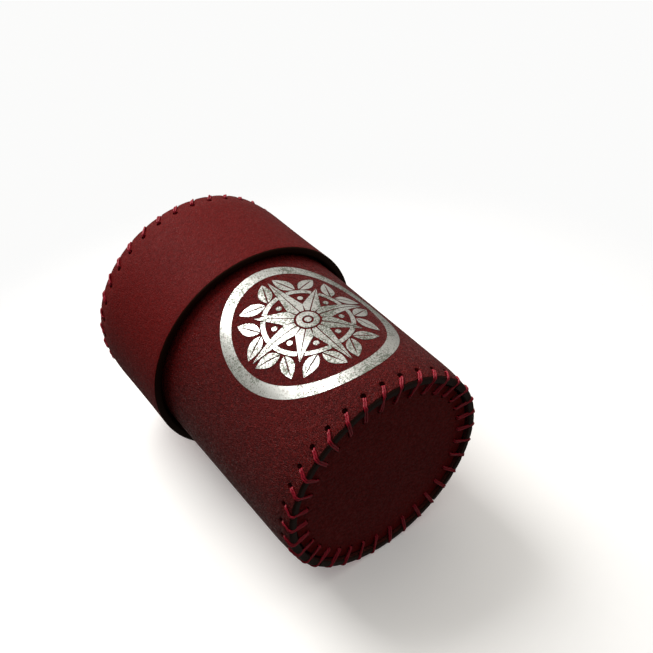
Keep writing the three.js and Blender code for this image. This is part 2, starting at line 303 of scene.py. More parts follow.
def modify(obj, kind, **settings):
    pick(obj)
    modifier = obj.modifiers.new(kind.title(), kind)
    for key, value in settings.items():
        setattr(modifier, key, value)
    bpy.ops.object.modifier_apply(modifier=modifier.name)


def cut(obj, tool):
    modify(obj, "BOOLEAN", operation="DIFFERENCE", solver="EXACT", object=tool)
    bpy.data.objects.remove(tool)


def turned(angle):
    return Matrix.Rotation(angle, 4, "Z")


def finish_piece(obj, material, body, slot, *nodes, smooth=math.radians(40)):
    """Smooths a piece, gives it its finish, puts it under the body it belongs to and hides the frame's
    parts that it stands for.
    """
    pick(obj)
    bpy.ops.object.shade_smooth_by_angle(angle=smooth)
    obj.data.materials.clear()
    obj.data.materials.append(material)
    settle(obj)
    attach(obj, body)
    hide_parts(*nodes)


# ---- materials ----

class Board:
    """Adds nodes to a tree and wires them, so that a finish reads from top to bottom."""

    def __init__(self, tree):
        self.tree = tree

    def add(self, kind, inputs=None, **settings):
        node = self.tree.nodes.new(kind)
        for key, value in settings.items():
            setattr(node, key, value)
        for key, value in (inputs or {}).items():
            self.feed(node.inputs[key], value)
        return node

    def feed(self, socket, value):
        if isinstance(value, bpy.types.NodeSocket):
            self.tree.links.new(value, socket)
        else:
            socket.default_value = value

    def math(self, operation, first, second=0.0, clamp=False):
        node = self.add("ShaderNodeMath", {0: first, 1: second}, operation=operation, use_clamp=clamp)
        return node.outputs[0]

    def weighed(self, *parts):
        """Adds values together, each times its weight."""
        total = 0.0
        for value, weight in parts:
            total = self.math("ADD", self.math("MULTIPLY", value, weight), total)
        return total

    def vector(self, operation, inputs):
        return self.add("ShaderNodeVectorMath", inputs, operation=operation)

    def ramp(self, value, low, high):
        """0 below low, 1 above high and smooth between them."""
        node = self.add("ShaderNodeMapRange", {0: value, 1: low, 2: high}, interpolation_type="SMOOTHSTEP")
        return node.outputs[0]

    def blend(self, factor, first, second):
        node = self.add("ShaderNodeMix", {0: factor}, data_type="RGBA")
        self.feed(node.inputs[6], rgba(first))
        self.feed(node.inputs[7], rgba(second))
        return node.outputs[2]

    def between(self, factor, first, second):
        return self.add("ShaderNodeMix", {0: factor, 2: first, 3: second}, data_type="FLOAT").outputs[0]

    def noise(self, vector, scale, detail=2.0, roughness=0.5):
        inputs = {"Vector": vector, "Scale": scale, "Detail": detail, "Roughness": roughness}
        return self.add("ShaderNodeTexNoise", inputs).outputs["Fac"]


def rgba(value):
    if isinstance(value, bpy.types.NodeSocket):
        return value
    return (*value[:3], 1.0)


def node_group(name, inputs, outputs, fill):
    """Makes a node group once, with named inputs (name, kind, default) and outputs (name, kind)."""
    if name in bpy.data.node_groups:
        return bpy.data.node_groups[name]
    tree = bpy.data.node_groups.new(name, "ShaderNodeTree")
    for title, kind, default in inputs:
        socket = tree.interface.new_socket(title, in_out="INPUT", socket_type=kind)
        if default is not None:
            socket.default_value = default
    for title, kind in outputs:
        tree.interface.new_socket(title, in_out="OUTPUT", socket_type=kind)
    board = Board(tree)
    entry = board.add("NodeGroupInput")
    leave = board.add("NodeGroupOutput")
    for title, socket in fill(board, entry.outputs).items():
        tree.links.new(socket, leave.inputs[title])
    return tree


PEBBLES = 1450.0  # how many pebbles of grain there are along a metre
SATIN = 0.45  # roughness of the leather's top side
NAPPED = 0.92  # roughness of its flesh side
PAINTED = 0.48  # roughness of its painted edges
MEAN_TONE = 0.55  # the middle of the grain's Tone, about which its contrast is stretched


def leather_grain_group():
    """Fine calf grain: small pebbles with creases between them, pores and a slow drift of the dye; its Tone
    also lightens pebbles at random as painted glints.
    """

    def fill(board, given):
        scale = given["Scale"]
        warp = board.noise(given["Vector"], board.math("MULTIPLY", scale, 0.18), 2.0)
        shift = board.add("ShaderNodeCombineXYZ", {0: warp, 1: warp, 2: warp}).outputs[0]
        small = board.vector("SCALE", {0: shift, 3: 1.4 * MM}).outputs[0]
        where = board.vector("ADD", {0: given["Vector"], 1: small}).outputs[0]
        edge = {"Vector": where, "Scale": scale}
        creases = board.add("ShaderNodeTexVoronoi", edge, feature="DISTANCE_TO_EDGE").outputs["Distance"]
        crease = board.ramp(creases, 0.0, 0.2)
        cells = board.add("ShaderNodeTexVoronoi", edge).outputs["Color"]
        cell = board.add("ShaderNodeSeparateColor", {0: cells}).outputs[0]
        pebble = board.noise(where, board.math("MULTIPLY", scale, 0.62), 3.0, 0.7)
        fine = board.noise(where, board.math("MULTIPLY", scale, 2.7), 3.0, 0.6)
        pores = board.ramp(board.noise(where, board.math("MULTIPLY", scale, 1.3), 1.0), 0.66, 0.76)
        height = board.weighed((crease, 0.40), (pebble, 1.3), (fine, 0.35), (cell, 0.30), (pores, -0.5))
        cloud = board.ramp(board.noise(given["Vector"], 30.0, 3.0, 0.55), 0.25, 0.75)
        grit = board.ramp(pebble, 0.40, 0.60)
        # cell lightens pebbles at random: painted glints, standing in for light caught on the tops of the
        # grain
        tone = board.weighed((cloud, 0.16), (grit, 0.36), (cell, 0.34), (crease, 0.14), (fine, 0.18))
        tone = board.math("SUBTRACT", tone, board.math("MULTIPLY", pores, 0.30), clamp=True)
        return {"Height": height, "Tone": tone, "Cell": cell}

    return node_group(
        "Leather grain",
        [("Vector", "NodeSocketVector", None), ("Scale", "NodeSocketFloat", 1400.0)],
        [("Height", "NodeSocketFloat"), ("Tone", "NodeSocketFloat"), ("Cell", "NodeSocketFloat")],
        fill,
    )


def speck_group():
    """Sparse round specks, one at most in each cell, each with a soft rim."""

    def fill(board, given):
        cells = board.add("ShaderNodeTexVoronoi", {"Vector": given["Vector"], "Scale": given["Scale"]})
        dot = board.math("SUBTRACT", 1.0, board.ramp(cells.outputs["Distance"], 0.18, 0.36))
        chance = board.add("ShaderNodeSeparateColor", {0: cells.outputs["Color"]}).outputs[0]
        chosen = board.math("LESS_THAN", chance, given["Amount"])
        mask = board.math("MULTIPLY", dot, chosen)
        return {"Mask": mask}

    return node_group(
        "Specks",
        [
            ("Vector", "NodeSocketVector", None),
            ("Scale", "NodeSocketFloat", 2500.0),
            ("Amount", "NodeSocketFloat", 0.2),
        ],
        [("Mask", "NodeSocketFloat")],
        fill,
    )


def new_material(name):
    material = bpy.data.materials.new(name)
    material.use_nodes = True
    tree = material.node_tree
    shader = tree.nodes["Principled BSDF"]
    return material, Board(tree), shader


def object_place(board):
    """Where a point of the piece is, its height and its distance from the axis."""
    coords = board.add("ShaderNodeTexCoord").outputs["Object"]
    parts = board.add("ShaderNodeSeparateXYZ", {0: coords})
    flat = board.add("ShaderNodeCombineXYZ", {0: parts.outputs[0], 1: parts.outputs[1]}).outputs[0]
    reach = board.vector("LENGTH", {0: flat}).outputs["Value"]
    return coords, parts.outputs[2], reach


class Hide:
    """How one piece of leather differs.

    dye brightens or darkens its colours, pebble is the height of its grain, contrast is how much the
    dye and the painted glints vary over the grain, sheen is how much it shines and glitter is how much
    the shine varies from pebble to pebble.
    """

    def __init__(self, dye, pebble, contrast, sheen, glitter):
        self.dye = dye
        self.pebble = pebble
        self.contrast = contrast
        self.sheen = sheen
        self.glitter = glitter


BODY_HIDE = Hide(dye=0.93, pebble=0.55 * MM, contrast=2.2, sheen=0.13, glitter=0.22)
LID_HIDE = Hide(dye=1.06, pebble=0.18 * MM, contrast=1.0, sheen=0.055, glitter=0.08)
DISC_HIDE = Hide(dye=1.15, pebble=0.25 * MM, contrast=1.3, sheen=0.06, glitter=0.12)


def leather_material(name, hide, flesh_mask, paint_mask):
    """Dyed leather with a satin top side, a napped flesh side and painted cut edges.

    Each mask is a function of the board, the height and the distance from the axis.
    """
    c = colours()
    material, board, shader = new_material(name)
    coords, z, reach = object_place(board)
    grain = board.add("ShaderNodeGroup", node_tree=leather_grain_group())
    board.feed(grain.inputs["Vector"], coords)
    grain.inputs["Scale"].default_value = PEBBLES
    spread = 0.5 / hide.contrast
    tones = {0: grain.outputs["Tone"], 1: MEAN_TONE - spread, 2: MEAN_TONE + spread}
    tone = board.add("ShaderNodeMapRange", tones).outputs[0]
    flesh = flesh_mask(board, z, reach)
    wobble = board.math("SUBTRACT", board.noise(coords, 420.0, 3.0), 0.5)
    wobble = board.math("MULTIPLY", wobble, 0.5 * MM)
    paint = paint_mask(board, board.math("ADD", z, wobble), reach)
    nap = board.noise(coords, 2600.0, 4.0, 0.7)
    dark, light = ([x * hide.dye for x in shade] for shade in (c.leather_dark, c.leather_light))
    top = board.blend(tone, dark, light)
    under = board.blend(nap, [x * 0.55 for x in c.flesh_side], c.flesh_side)
    both = board.blend(flesh, top, under)
    board.feed(shader.inputs["Base Color"], board.blend(paint, both, c.edge_paint))
    satin = board.between(grain.outputs["Cell"], SATIN + hide.glitter, SATIN - hide.glitter)
    rough = board.between(flesh, satin, NAPPED)
    board.feed(shader.inputs["Roughness"], board.between(paint, rough, PAINTED))
    relief = board.between(flesh, grain.outputs["Height"], board.math("MULTIPLY", nap, 2.2))
    relief = board.between(paint, relief, board.math("MULTIPLY", nap, 0.5))
    bump = board.add("ShaderNodeBump", {"Strength": 0.9, "Distance": hide.pebble, "Height": relief})
    board.feed(shader.inputs["Normal"], bump.outputs[0])
    shader.inputs["Specular IOR Level"].default_value = hide.sheen
    return material


def sheet_material(name, tube, hide):
    s = sizes()
    low, high = sorted((tube.z_at(0), tube.z_at(tube.height)))
    middle = tube.radius - s.leather * 0.55

    def flesh(board, z, reach):
        return board.math("SUBTRACT", 1.0, board.ramp(reach, middle - 0.2 * MM, middle + 0.2 * MM))

    def paint(board, z, reach):
        bottom = board.math("SUBTRACT", 1.0, board.ramp(z, low + 0.45 * MM, low + 0.75 * MM))
        top = board.ramp(z, high - 0.75 * MM, high - 0.45 * MM)
        return board.math("MAXIMUM", bottom, top)

    return leather_material(name, hide, flesh, paint)


def disc_material(name, tube):
    s = sizes()
    middle = tube.z_at(s.disc_inset + s.disc_leather * 0.6)

    def flesh(board, z, reach):
        low, high = middle - 0.2 * MM, middle + 0.2 * MM
        mask = board.ramp(z, low, high)
        return mask if tube.inward > 0 else board.math("SUBTRACT", 1.0, mask)

    def paint(board, z, reach):
        return board.ramp(reach, tube.disc_radius - 0.5 * MM, tube.disc_radius - 0.2 * MM)

    return leather_material(name, DISC_HIDE, flesh, paint)


def thread_material(name, length_over, strand_radius):
    """Waxed plied thread: the plies wind round the strand, worked out from its own UV map; the grooves
    between the plies are darkened as painted shade and the fibres carry painted highlights.
    """
    c = colours()
    material, board, shader = new_material(name)
    uv = board.add("ShaderNodeUVMap").outputs[0]
    parts = board.add("ShaderNodeSeparateXYZ", {0: uv})
    turns = length_over / (strand_radius * 4.5)
    along = board.math("MULTIPLY", parts.outputs[0], turns * TURN)
    round_it = board.math("MULTIPLY", parts.outputs[1], 3 * TURN)
    ply = board.math("SINE", board.math("ADD", along, round_it))
    ply = board.math("MULTIPLY", board.math("ADD", ply, 1.0), 0.5)
    coords = board.add("ShaderNodeTexCoord").outputs["Object"]
    fibre = board.noise(coords, 5200.0, 3.0, 0.6)
    slow = board.noise(coords, 300.0, 2.0)
    # deep is painted shade in the grooves between the plies, mixed with a slow drift of the wax's tone
    deep = [x * 0.35 for x in c.thread]
    ply_shade_and_wax = board.weighed((ply, 0.65), (slow, 0.4))
    shade = board.blend(ply_shade_and_wax, deep, c.thread)
    # painted highlights: lighter pinkish specks on the fibres, standing in for light caught on them
    fibre_highlight = [min(1, x * 1.2 + 0.012) for x in c.thread]
    board.feed(shader.inputs["Base Color"], board.blend(board.ramp(fibre, 0.55, 0.8), shade, fibre_highlight))
    board.feed(shader.inputs["Roughness"], board.between(fibre, 0.34, 0.62))
    shader.inputs["Specular IOR Level"].default_value = 0.35
    relief = board.math("ADD", ply, board.math("MULTIPLY", fibre, 0.5))
    bump = board.add("ShaderNodeBump", {"Strength": 0.7, "Distance": 0.08 * MM, "Height": relief})
    board.feed(shader.inputs["Normal"], bump.outputs[0])
    return material


def foil_material(name):
    """Hot-stamped silver: a metal film with large bright and dull zones, partly uneven pressing and partly
    painted reflection, a dull sandy grain and pinholes.
    """
    c = colours()
    material, board, shader = new_material(name)
    coords = board.add("ShaderNodeTexCoord").outputs["Object"]
    pin = board.add("ShaderNodeGroup", node_tree=speck_group())
    board.feed(pin.inputs["Vector"], coords)
    board.feed(pin.inputs["Scale"], 1100.0)
    board.feed(pin.inputs["Amount"], 0.22)
    cells = board.add("ShaderNodeTexVoronoi", {"Vector": coords, "Scale": 2300.0})
    flake = board.add("ShaderNodeSeparateColor", {0: cells.outputs["Color"]}).outputs[0]
    sand = board.between(0.5, flake, board.noise(coords, 1200.0, 3.0, 0.85))
    # large zones switch between bright and dull foil: partly uneven pressing, partly painted reflection
    pressure_and_reflection = board.ramp(board.noise(coords, 75.0, 3.0, 0.6), 0.34, 0.66)
    level = board.math("ADD", sand, board.between(pressure_and_reflection, -0.22, 0.16))
    dull = board.ramp(level, 0.30, 0.78)
    film = board.blend(dull, c.foil_bright, c.foil_dull)
    worn = board.math("MULTIPLY", pin.outputs["Mask"], board.between(pressure_and_reflection, 0.35, 0.9))
    board.feed(shader.inputs["Base Color"], board.blend(worn, film, [x * 2 for x in c.leather_dark]))
    board.feed(shader.inputs["Metallic"], board.between(worn, 0.75, 0.0))
    board.feed(shader.inputs["Roughness"], board.between(dull, 0.34, 0.58))
    bump = board.add("ShaderNodeBump", {"Strength": 0.5, "Distance": 0.06 * MM, "Height": sand})
    board.feed(shader.inputs["Normal"], bump.outputs[0])
    return material


# ---- rolled leather sheets ----

def roll_sheet(name, tube):
    """Draws the sheet's cross-section, spins it round the axis and closes the two butting ends."""
    s = sizes()
    half_gap = s.seam_gap / 2 / tube.radius
    start = tube.seam_angle + half_gap
    low, high = sorted((tube.z_at(0), tube.z_at(tube.height)))
    middle = polar(start, tube.radius - s.leather / 2, (low + high) / 2)
    clear_selection()
    bpy.ops.mesh.primitive_plane_add(size=1, location=middle, rotation=(math.pi / 2, 0, start))
    sheet = named(name)
    sheet.scale = (s.leather, high - low, 1)
    settle(sheet)
    edit(sheet)
    bpy.ops.mesh.select_all(action="SELECT")
    bpy.ops.mesh.bevel(offset=s.edge_round, segments=4, affect="VERTICES")
    bpy.ops.mesh.delete(type="ONLY_FACE")
    done()
    select_edges(sheet, lambda a, b: abs(a.z - b.z) > (high - low) / 2)
    bpy.ops.mesh.subdivide(number_cuts=round((high - low) / (3 * MM)))
    done()
    sewn = 9 * MM
    select_edges(sheet, lambda a, b: abs(a.z - b.z) > 2 * MM and tube.depth_at((a.z + b.z) / 2) < sewn)
    bpy.ops.mesh.subdivide(number_cuts=3)
    bpy.ops.mesh.select_all(action="SELECT")
    bpy.ops.mesh.spin(steps=10 * tube.stitches, angle=TURN - 2 * half_gap, center=(0, 0, 0), axis=(0, 0, 1))
    bpy.ops.mesh.select_all(action="DESELECT")
    bpy.ops.mesh.select_mode(type="EDGE")
    bpy.ops.mesh.select_non_manifold()
    bpy.ops.mesh.fill_holes(sides=0)
    bpy.ops.mesh.select_all(action="SELECT")
    bpy.ops.mesh.normals_make_consistent(inside=False)
    done()
    mould(sheet, tube)
    return sheet


def mould(sheet, tube):
    """Shapes the straight tube: drawn in at the sewn end, dented by the stitches, never quite round."""
    inner = tube.radius - sizes().leather
    for vertex in sheet.data.vertices:
        x, y, z = vertex.co
        reach = math.hypot(x, y)
        angle = math.atan2(y, x)
        depth = tube.depth_at(z)
        outside = (reach - inner) / sizes().leather
        shift = tube.outer_at(depth) - tube.radius + tube.unevenness(angle, depth)
        shift -= tube.dent_at(angle, depth) * max(0, outside)
        vertex.co = (x * (1 + shift / reach), y * (1 + shift / reach), z)


def add_drill(radius, reach, place, turn, sides=18):
    clear_selection()
    bpy.ops.mesh.primitive_cylinder_add(
        vertices=sides, radius=radius, depth=reach, location=place, rotation=turn
    )
    return named("drill")


def punch_wall(sheet, tube):
    """Punches the stitch holes and presses a groove for each stitch into the wall's end."""
    s = sizes()
    wall = tube.outer_at(tube.hole_depth) - s.leather / 2
    reach = s.leather + 3 * MM
    hole = add_drill(s.hole, reach, (wall, 0, tube.z_at(tube.hole_depth)), ACROSS)
    cut(sheet, copied(hole, [turned(tube.angle_at(i)) for i in range(tube.stitches)]))
    groove = add_drill(s.groove, reach + 1 * MM, (wall, 0, tube.z_at(0.3 * MM)), ACROSS)
    lean = s.slant * 0.7  # how far a stitch has leant over where it crosses the end
    cut(sheet, copied(groove, [turned(tube.angle_at(i + lean)) for i in range(tube.stitches)]))


def seam_rows(tube):
    """Heights of the rows of seam stitches, which keep clear of both ends of the tube."""
    s = sizes()
    sewn_margin, open_margin = 10 * MM, 7 * MM
    low, high = sorted((tube.z_at(sewn_margin), tube.z_at(tube.height - open_margin)))
    count = math.floor((high - low) / s.seam_pitch) + 1
    first = (low + high - (count - 1) * s.seam_pitch) / 2
    return [first + row * s.seam_pitch for row in range(count)]


def shave_seam(sheet, tube):
    """Shaves a shallow strip along the seam, outside and inside, and punches the seam's holes."""
    s = sizes()
    rows = seam_rows(tube)
    tall = rows[-1] - rows[0] + 4 * MM
    middle_z = (rows[-1] + rows[0]) / 2
    outer = tube.radius
    inner = tube.radius - s.leather
    for near, far in ((outer - s.shave, outer + 3 * MM), (inner - 3 * MM, inner + s.shave)):
        clear_selection()
        bpy.ops.mesh.primitive_cube_add(size=1, location=((near + far) / 2, 0, middle_z))
        strip = named("strip")
        strip.scale = (far - near, 8.4 * MM, tall)
        settle(strip)
        select_edges(strip, lambda a, b: abs(a.x - b.x) > MM)
        bpy.ops.mesh.bevel(offset=1.2 * MM, segments=4)
        done()
        cut(sheet, copied(strip, [turned(tube.seam_angle)]))
    middle = outer - s.leather / 2
    drill = add_drill(s.seam_hole, s.leather + 3 * MM, (middle, 0, 0), ACROSS, sides=14)
    places = [
        turned(tube.seam_angle) @ Matrix.Translation((0, side * s.seam_width, z))
        for z in rows
        for side in (-1, 1)
    ]
    cut(sheet, copied(drill, places))


def make_sheet(name, tube, hide, body, node):
    sheet = roll_sheet(name, tube)
    punch_wall(sheet, tube)
    shave_seam(sheet, tube)
    finish_piece(sheet, sheet_material(name + "_finish", tube, hide), body, "wall_leather", node)


# ---- discs ----

def make_disc(name, tube, body, node):
    """A leather disc let into the tube: a rounded rim, a channel under the stitches and their holes."""
    s = sizes()
    low, high = sorted((tube.z_at(s.disc_inset), tube.z_at(s.disc_inset + s.disc_leather)))
    clear_selection()
    middle = (low + high) / 2
    bpy.ops.mesh.primitive_cylinder_add(
        vertices=10 * tube.stitches, radius=tube.disc_radius, depth=high - low, location=(0, 0, middle)
    )
    disc = named(name)
    settle(disc)
    select_edges(disc, lambda a, b: abs(a.z - b.z) < 0.1 * MM)
    bpy.ops.mesh.bevel(offset=0.4 * MM, segments=3)
    done()
    for width in (1.6 * MM, 1.6 * MM, 1.6 * MM, 3 * MM, 6 * MM, 10 * MM):
        select_faces(disc, lambda centre, normal: abs(normal.z) > 0.9 and centre.xy.length < 2 * MM)
        bpy.ops.mesh.inset(thickness=width, use_individual=False)
        done()
    dish(disc, tube)
    hole = add_drill(s.hole, s.disc_leather + 4 * MM, (tube.disc_hole_radius, 0, middle), (0, 0, 0))
    angles = [tube.angle_at(i + s.slant) for i in range(tube.stitches)]
    cut(disc, copied(hole, [turned(angle) for angle in angles]))
    finish_piece(disc, disc_material(name + "_finish", tube), body, "disc_leather", node)


def dish(disc, tube):
    """Presses a shallow channel where the stitches cross the disc's outer face."""
    s = sizes()
    for vertex in disc.data.vertices:
        reach = vertex.co.xy.length
        if tube.depth_at(vertex.co.z) < s.disc_inset + s.disc_leather / 2:
            ring = math.exp(-(((reach - tube.disc_hole_radius - 1.5 * MM) / (2.2 * MM)) ** 2))
            vertex.co.z += tube.inward * 0.18 * MM * ring


# ---- threads ----

def stitch_route(tube):
    """One turn out through the wall, over its end, in through the disc and back inside, all round."""
    s = sizes()
    rise = 1.15 * s.strand
    hole = tube.disc_hole_radius
    inner = tube.outer_at(tube.hole_depth) - s.leather
    face = s.disc_inset - rise - 0.08 * MM
    # how far over the edge, distance from the axis (0 lies on the wall), depth, height off the wall
    turn = [
        (0, inner - 0.3 * MM, tube.hole_depth, 0),
        (0.06, 0, tube.hole_depth - s.pulled, -1.0 * MM),
        (0.08, 0, tube.hole_depth - s.pulled - 0.1 * MM, -0.1 * MM),
        (0.15, 0, tube.hole_depth - s.pulled - 0.6 * MM, rise),
        (0.34, 0, tube.hole_depth * 0.42, rise),
        (0.56, 0, 0.9 * MM, rise),
        (0.66, 0, 0.15 * MM, -0.15 * MM),
        (0.74, 0, 0.3 * MM, -1.6 * MM),
        (0.93, hole + 0.9 * MM, face, 0),
        (1.0, hole, face + 0.5 * MM, 0),
        (1.0, hole, tube.hole_depth - 0.7 * MM, 0),
        (1.12, hole + 0.7 * MM, tube.hole_depth, 0),
    ]
    points = []
    for i in range(tube.stitches):
        pull = 1 + 0.10 * math.sin(2.4 * i) * math.sin(0.7 * i + 1)
        for lean, reach, depth, lift in turn:
            over = math.sin(math.pi * min(1, lean))
            angle = tube.angle_at(i + (lean + over * (pull - 1)) * s.slant)
            if reach == 0:
                reach = tube.surface_at(angle, max(depth, 0)) + lift
            points.append(polar(angle, reach, tube.z_at(depth)))
    return points


def seam_route(tube):
    """Up the seam: slanting across outside, straight back inside."""
    s = sizes()
    outside = tube.radius - s.shave + 1.3 * s.seam_strand
    inside = tube.radius - s.leather + s.shave - 1.3 * s.seam_strand
    rows = seam_rows(tube)
    w = s.seam_width
    bend = 0.4 * MM
    tip = outside - 0.2 * MM
    start, finish = rows[0], rows[-1]
    points = [
        Vector((tip, w, start)),
        Vector((inside + bend, w, start)),
        Vector((inside, w - bend, start)),
        Vector((inside, 0, start)),
    ]
    for z, above in zip(rows, rows[1:]):
        points += [
            Vector((inside, bend - w, z)),
            Vector((inside + bend, -w, z)),
            Vector((outside - bend, -w, z)),
            Vector((outside, bend / 2 - w, z + bend)),
            Vector((outside + 0.1 * MM, 0, (z + above) / 2)),
            Vector((outside, w - bend / 2, above - bend)),
            Vector((outside - bend, w, above)),
            Vector((inside + bend, w, above)),
            Vector((inside, w - bend, above)),
        ]
    points += [
        Vector((inside, 0, finish)),
        Vector((inside, bend - w, finish)),
        Vector((inside + bend, -w, finish)),
        Vector((tip, -w, finish)),
    ]
    return [turned(tube.seam_angle) @ point for point in points]


def smooth(points, between):
    """A curve through all the points, with a few more between each two."""
    ends = [points[0], *points, points[-1]]
    made = []
    for a, b, c, d in zip(ends, ends[1:], ends[2:], ends[3:]):
        for i in range(between):
            t = i / between
            linear = (c - a) * t
            square = (2 * a - 5 * b + 4 * c - d) * t**2
            cube = (3 * b - a - 3 * c + d) * t**3
            made.append(0.5 * (2 * b + linear + square + cube))
    made.append(points[-1])
    return made


def lay_thread(name, route, strand, twist, body, node):
    """Lays two waxed strands side by side along the route, rocking slowly to and fro as they go.

    twist is the length of thread in which they rock once to each side.
    """
    path = smooth(route, 4)
    clear_selection()
    data = bpy.data.curves.new(name, "CURVE")
    data.dimensions = "3D"
    data.bevel_depth = strand
    data.bevel_resolution = 2
    data.use_fill_caps = True
    run = 0.0
    strands = ([], [])
    for i, point in enumerate(path):
        ahead = path[min(i + 1, len(path) - 1)] - path[max(i - 1, 0)]
        along = ahead.normalized()
        beside = Vector((-point.y, point.x, 0)).normalized()
        beside = (beside - along * beside.dot(along)).normalized()
        over = along.cross(beside)
        turn = 0.55 * math.sin(TURN * run / twist)
        offset = strand * 0.98 * (math.cos(turn) * beside + math.sin(turn) * over)
        strands[0].append(point + offset)
        strands[1].append(point - offset)
        run += (path[min(i + 1, len(path) - 1)] - point).length
    for points in strands:
        spline = data.splines.new("POLY")
        spline.points.add(len(points) - 1)
        for target, place in zip(spline.points, points):
            target.co = (*place, 1)
            target.radius = 1
    thread = bpy.data.objects.new(name, data)
    bpy.context.scene.collection.objects.link(thread)
    pick(thread)
    bpy.ops.object.convert(target="MESH")
    thread = named(name)
    material = thread_material(name + "_finish", run, strand)
    finish_piece(thread, material, body, "stitch_thread", node, smooth=math.radians(80))


# ---- foil emblem ----

def flat_ring(name, outer, inner, bands, sides):
    """A flat ring: a circle extruded outwards in bands."""
    clear_selection()
    bpy.ops.mesh.primitive_circle_add(vertices=sides, radius=inner, fill_type="NOTHING")
    ring = named(name)
    edit(ring)
    bpy.ops.mesh.select_all(action="SELECT")
    reach = inner
    for _ in range(bands):
        wider = reach + (outer - inner) / bands
        bpy.ops.mesh.extrude_region_move()
        bpy.ops.transform.resize(value=(wider / reach, wider / reach, 1))
        reach = wider
    done()
    return ring


def flat_shape(name, outline):
    """A flat face with the given outline, started from a filled circle of as many corners."""
    clear_selection()
    bpy.ops.mesh.primitive_circle_add(vertices=len(outline), radius=MM, fill_type="NGON")
    shape = named(name)
    for vertex, (x, y) in zip(shape.data.vertices, outline):
        vertex.co = (x, y, 0)
    return shape


def bow(start, control, end, steps):
    """Points on the curve that a control point pulls aside."""
    points = []
    for i in range(steps + 1):
        t = i / steps
        weights = ((1 - t) ** 2, 2 * t * (1 - t), t**2)
        corners = zip(start, control, end)
        points.append(tuple(weights[0] * a + weights[1] * b + weights[2] * c for a, b, c in corners))
    return points


def on_circle(reach, angle):
    return (reach * math.cos(angle), reach * math.sin(angle))


def blade(reach, slit):
    """Half of one point of the star: from the hub to the tip, beside the slit down its middle."""
    waist = STAR_LONG * 0.34
    hub = STAR_LONG * 0.2
    corner = on_circle(waist, TURN / 16)
    root = on_circle(hub, TURN / 16 - 0.06)
    stem = (hub, slit)
    return flat_shape("blade", [stem, (reach, slit * 0.4), corner, root])


def leaf_half(slit):
    """Half of one leaf, beside the slit that is its rib."""
    long, wide = STAR_LONG * 0.39, STAR_LONG * 0.2
    edge = bow((0, slit), (long * 0.4, wide), (long, 0), 9)
    rib = bow((long, 0), (long * 0.6, slit * 1.5), (long * 0.12, slit), 3)
    return flat_shape("leaf", edge + rib[1:])


def mirrored(obj):
    """Adds the shape's mirror image across the x axis, facing the same way."""
    clear_selection()
    twin = obj.copy()
    twin.data = obj.data.copy()
    twin.scale = (1, -1, 1)
    bpy.context.scene.collection.objects.link(twin)
    pick(twin)
    bpy.ops.object.transform_apply(scale=True)
    pick(obj, twin)
    bpy.ops.object.join()
    edit(obj)
    bpy.ops.mesh.select_all(action="SELECT")
    bpy.ops.mesh.normals_make_consistent(inside=False)
    done()
    return obj


def draw_motif():
    """A compass star in a leafy hoop, drawn flat: x runs round the cup and y runs up it."""
    slit = 0.24 * MM
    quarter = [turned(i * TURN / 4 + TURN / 4) for i in range(4)]
    diagonal = [turned(i * TURN / 4 + TURN / 8) for i in range(4)]
    parts = [
        copied(mirrored(blade(STAR_LONG, slit)), quarter),
        copied(mirrored(blade(STAR_LONG * 0.77, slit)), diagonal),
        flat_ring("hub", STAR_LONG * 0.165, STAR_LONG * 0.085, 1, 48),
        flat_shape("eye", [on_circle(STAR_LONG * 0.05, i * TURN / 24) for i in range(24)]),
    ]
    hoop = STAR_LONG * 0.64
    band = STAR_LONG * 0.035
    middles = [TURN / 16 + i * TURN / 8 for i in range(8)]
    for i, middle in enumerate(middles):
        near_long, near_short = math.radians(-15.6), math.radians(17.6)
        low, high = (near_long, near_short) if i % 2 == 0 else (-near_short, -near_long)
        turns = [low + (high - low) * k / 14 for k in range(15)]
        outline = [on_circle(hoop + band, t) for t in turns]
        outline += [on_circle(hoop - band, t) for t in reversed(turns)]
        arc = flat_shape("arc", outline)
        parts.append(copied(arc, [turned(middle)]))
    pair = []
    for middle in middles:
        for side in (-1, 1):
            root = Matrix.Translation((hoop + band * 1.6, side * 0.9 * MM, 0))
            lean = Matrix.Rotation(side * math.radians(44), 4, "Z")
            pair.append(turned(middle) @ root @ lean)
    parts.append(copied(mirrored(leaf_half(slit)), pair))
    berry = flat_shape("berry", [on_circle(STAR_LONG * 0.042, i * TURN / 20) for i in range(20)])
    spots = [turned(middle) @ Matrix.Translation((STAR_LONG * 0.485, 0, 0)) for middle in middles]
    parts.append(copied(berry, spots))
    pick(*parts)
    bpy.ops.object.join()
    return named("emblem_star_silver")


def stripe(foil, reach, step_x, step_y):
    """Cuts the flat foil into narrow strips, so that it can follow the round wall."""
    edit(foil)
    for step, normal in ((step_x, Vector((1, 0, 0))), (step_y, Vector((0, 1, 0)))):
        count = math.floor(reach / step)
        for i in range(-count, count + 1):
            bpy.ops.mesh.select_all(action="SELECT")
            bpy.ops.mesh.bisect(plane_co=normal * (i * step + 0.013 * MM), plane_no=normal)
    bpy.ops.mesh.select_all(action="SELECT")
    bpy.ops.mesh.remove_doubles(threshold=0.002 * MM)
    bpy.ops.mesh.normals_make_consistent(inside=False)
    done()


